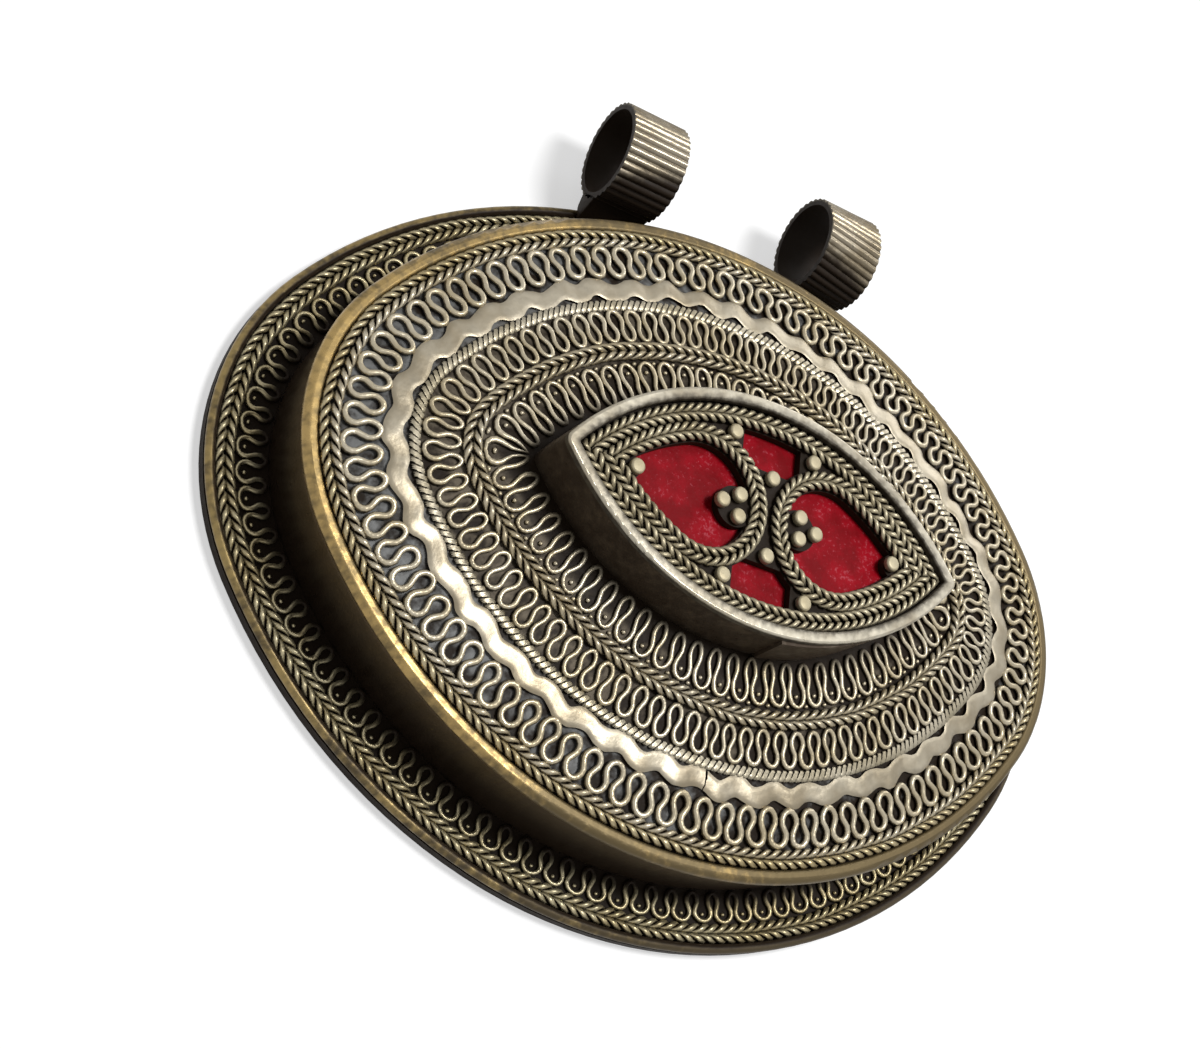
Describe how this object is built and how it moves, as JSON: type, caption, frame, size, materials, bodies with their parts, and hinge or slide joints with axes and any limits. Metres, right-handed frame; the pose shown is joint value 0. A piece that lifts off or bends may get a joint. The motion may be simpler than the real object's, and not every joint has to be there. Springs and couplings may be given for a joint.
{
  "type": "amulet box",
  "caption": "Oval amulet box pendant: flanged back tray with cord bails and a pull-off filigree cover holding a pierced, granulated setting over red glass.",
  "frame": {"origin": "middle of the oval on the underside of the back plate, where the box lies or rests on the chest", "axes": "+X along the oval's long axis, +Y up toward the bails as worn, +Z out of the front"},
  "size_m": [0.092, 0.0782, 0.0179],
  "materials": {
    "silver_wire": "worn silver alloy with dark tarnish in the recesses",
    "silver_sheet": "tarnished silver alloy sheet",
    "gilt_brass": "dull brass with brown tarnish",
    "bail_strip": "dark reeded silver alloy strip",
    "red_glass": "deep red glass, polished",
    "pitch": "dark setting pitch",
    "paper": "aged rolled paper"
  },
  "bodies": {
    "back_tray": {"back_plate": "silver_sheet", "back_edge_wire": "gilt_brass", "back_twist_outer": "silver_wire", "back_twist_inner": "silver_wire", "back_scroll": "silver_wire", "tray_collar": "silver_sheet", "bail_left": "bail_strip", "bail_right": "bail_strip", "prayer_roll": "paper"},
    "cover": {"cover_wall": "gilt_brass", "cover_plate": "silver_sheet", "cover_bead": "gilt_brass", "cover_twist_1": "silver_wire", "cover_twist_2": "silver_wire", "cover_scroll_outer": "silver_wire", "cover_ribbon": "silver_wire", "cover_milled_wire": "silver_wire", "cover_scroll_middle": "silver_wire", "cover_twist_3": "silver_wire", "cover_twist_4": "silver_wire", "cover_scroll_inner": "silver_wire", "bezel_wall": "silver_sheet", "bezel_rim": "silver_wire", "setting_bed": "pitch", "red_glass": "red_glass", "window_panel": "silver_sheet", "frame_twist_outer": "silver_wire", "frame_twist_inner": "silver_wire", "leaf_left_outer": "silver_wire", "leaf_left_inner": "silver_wire", "leaf_right_outer": "silver_wire", "leaf_right_inner": "silver_wire", "granules": "silver_wire"}
  },
  "joints": [
    {"name": "cover_lift", "type": "slide", "parent": "back_tray", "child": "cover", "axis": [0, 0, 1], "range_m": [0, 0.03]}
  ]
}
